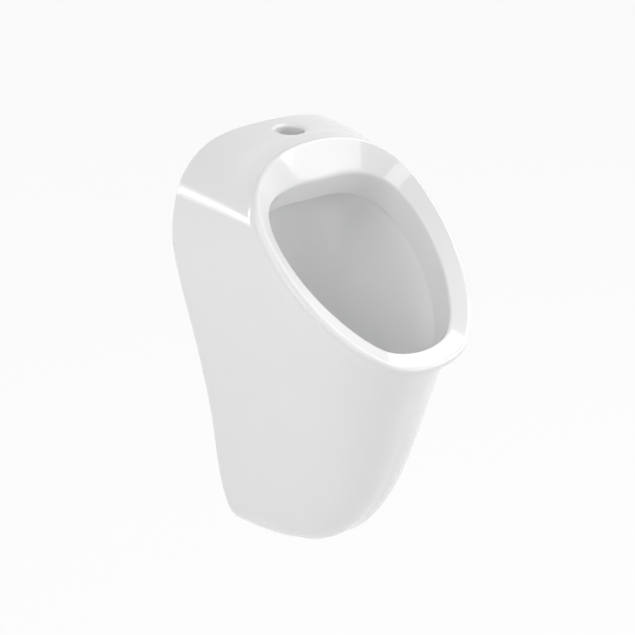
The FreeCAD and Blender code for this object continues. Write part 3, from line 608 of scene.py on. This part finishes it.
# ---- Wall fixing ----------------------------------------------------------------------------
# Two bent steel hooks are bolted to the wall and carry the ceramic's rail on rubber pads. Hanger
# bolts hold them: a coarse thread in the wall and a machine thread through hook, washer and nut.
zinc = Finish("zinc_plate", (0.56, 0.575, 0.60), 0.38, Metallic=1.0)
crystals = zinc.add("ShaderNodeTexVoronoi", {"feature": "F1"},
                    {"Vector": zinc.place, "Scale": 160.0}, "Color")
grain = zinc.add("ShaderNodeSeparateColor", {}, {"Color": crystals}, 0)
patina = zinc.noise(28.0, 4.0, 0.6)
zinc.surface(zinc.mixed(0.5 * grain + 0.5 * patina, (0.50, 0.52, 0.55, 1), (0.66, 0.67, 0.68, 1)),
             zinc.ranged(0.5 * grain + patina, 0.4, 1.1, 0.30, 0.48), zinc.noise(350.0, 3.0), 0.00006)
zinc.on(nodes["hanger_brackets"], nodes["hanger_washers"])
rubber.on(nodes["hanger_pads"])

# Bolts and nuts are made upright, with the wall at zero and the anchor upwards, and then laid down
fixing_x, to_wall = 0.085, (math.radians(-90), 0, 0)
bolt_crest, bolt_depth, bolt_pitch, bolt_end = 0.004, 0.00075, 0.00125, -0.017
anchor_crest, anchor_depth, anchor_pitch, anchor_end, anchor_land = 0.005, 0.0012, 0.0036, 0.055, 0.12
bolt_chamfer = [(0.0040, -0.020), (0.0065, -0.020), (0.0065, -0.0148), (0.0040, -0.0172)]
anchor_point = [(0.0015, 0.056), (0.0075, 0.056), (0.0075, 0.046), (0.0055, 0.046)]
nut_flats, nut_height, nut_bore, nut_foot = 0.013, 0.0065, 0.00405, -0.0111
for side, where in ((-1, "left"), (1, "right")):
    bolt = helical_thread("hanger_bolt_" + where, bolt_crest, bolt_depth, bolt_pitch, bolt_end, 0.0005)
    boolean(bolt, turned("chamfer", bolt_chamfer, steps=48), "DIFFERENCE")
    anchor = helical_thread("anchor", anchor_crest, anchor_depth, anchor_pitch, 0.0, anchor_end, anchor_land)
    boolean(anchor, turned("point", anchor_point, steps=48), "DIFFERENCE")
    boolean(bolt, anchor, "UNION")
    moved(bolt, (side * fixing_x, 0, 0), to_wall)
    only(bolt)
    bpy.ops.object.shade_smooth_by_angle(angle=math.radians(20))
    grip = hexagon_nut("hanger_nut_" + where, nut_flats, nut_height, nut_bore)
    moved(grip, (0, 0, nut_foot))
    moved(grip, (side * fixing_x, 0, 0), to_wall)
    for piece, node in ((bolt, "hanger_bolts"), (grip, "hanger_nuts")):
        zinc.on(piece)
        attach(piece, "fixture")
        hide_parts(node)


# ---- Studio ---------------------------------------------------------------------------------
# A wide pale floor well under the part, which hangs as on its wall, under soft light from the
# right, the left and above. Two long lamps behind the left side draw the shine on its shoulder.
floor_drop, background_share = 0.80, 0.94
bpy.ops.object.select_all(action="DESELECT")
bpy.ops.mesh.primitive_plane_add(size=30, location=(0, 0, -floor_drop))
floor = bpy.context.object
floor.name = "floor"


def seen_plainly(tree):
    """1 where the camera, a reflection or clear glass looks at the backdrop, 0 for its light."""
    rays, total = tree.nodes.new("ShaderNodeLightPath"), None
    for kind in ("Is Camera Ray", "Is Glossy Ray", "Is Transmission Ray"):
        step = tree.nodes.new("ShaderNodeMath")
        step.operation, step.inputs[1].default_value = "MAXIMUM", 0.0
        tree.links.new(rays.outputs[kind], step.inputs[0])
        if total:
            tree.links.new(total, step.inputs[1])
        total = step.outputs[0]
    return total


paint = Finish("floor_paint", (0.90, 0.90, 0.90), 0.9)
seen = Amount(paint, seen_plainly(paint.tree))
glow = paint.add("ShaderNodeEmission", {}, {"Color": (1, 1, 1, 1), "Strength": 1.0})
shaded = Amount(paint, paint.shader.outputs[0])
backdrop = paint.add("ShaderNodeMixShader", {}, {0: seen * background_share, 1: shaded, 2: glow})
paint.feed(paint.tree.nodes["Material Output"].inputs["Surface"], backdrop)
paint.on(floor)

# The sky gives a little light, and is plain white where it is seen
sky_light = 0.10
sky = bpy.data.worlds.new("sky")
bpy.context.scene.world = sky
sky.use_nodes = True
strength = sky.node_tree.nodes.new("ShaderNodeMapRange")
strength.inputs["To Min"].default_value, strength.inputs["To Max"].default_value = sky_light, 1.0
background = sky.node_tree.nodes["Background"]
background.inputs["Color"].default_value = (1, 1, 1, 1)
sky.node_tree.links.new(seen_plainly(sky.node_tree), strength.inputs["Value"])
sky.node_tree.links.new(strength.outputs[0], background.inputs["Strength"])


def softbox(name, azimuth, elevation, distance, width, height, watts, target=(0, -0.15, -0.2)):
    """A soft lamp that faces the target: azimuth 0 is straight in front, 90 is to the right."""
    turn, climb = math.radians(azimuth), math.radians(elevation)
    away = Vector((math.sin(turn) * math.cos(climb), -math.cos(turn) * math.cos(climb), math.sin(climb)))
    lamp = bpy.data.lights.new(name, "AREA")
    lamp.shape, lamp.size, lamp.size_y, lamp.energy = "RECTANGLE", width, height, watts
    holder = bpy.data.objects.new(name, lamp)
    bpy.context.scene.collection.objects.link(holder)
    holder.location = Vector(target) + distance * away
    holder.rotation_euler = away.to_track_quat("Z", "Y").to_euler()


# Name, azimuth, elevation, size in metres and watts
for name, azimuth, elevation, size, watts in (
        ("right", 60, 15, 1.2, 15), ("right_front", 30, 15, 1.2, 9.5), ("right_front_high", 30, 60, 1.2, 10),
        ("right_high", 90, 55, 1.2, 13), ("left_front", -40, 20, 1.2, 9.5), ("left", -90, 10, 1.6, 12.5),
        ("left_high", -90, 50, 1.2, 8.5)):
    softbox(name, azimuth, elevation, 2.2, size, size, watts)
shoulder = (-0.13, -0.07, 0.01)
softbox("shoulder_shine", -129, 9.5, 1.8, 0.9, 0.13, 1.3, shoulder)
softbox("shoulder_glow", -129, 9.5, 1.85, 0.9, 0.32, 2.0, shoulder)

# Camera at the photograph's viewing angle
camera_data = bpy.data.cameras.new("camera")
camera_data.lens, camera_data.sensor_width = 108.87, 36.0
camera_place, back_of_view = (-1.3611, -1.8370, 0.7366), Vector((-0.5714, -0.7300, 0.3749))
camera = bpy.data.objects.new("camera", camera_data)
bpy.context.scene.collection.objects.link(camera)
camera.location = camera_place
camera.rotation_euler = (-back_of_view).to_track_quat("-Z", "Y").to_euler()
bpy.context.scene.camera = camera
bpy.context.scene.view_settings.view_transform = "Standard"
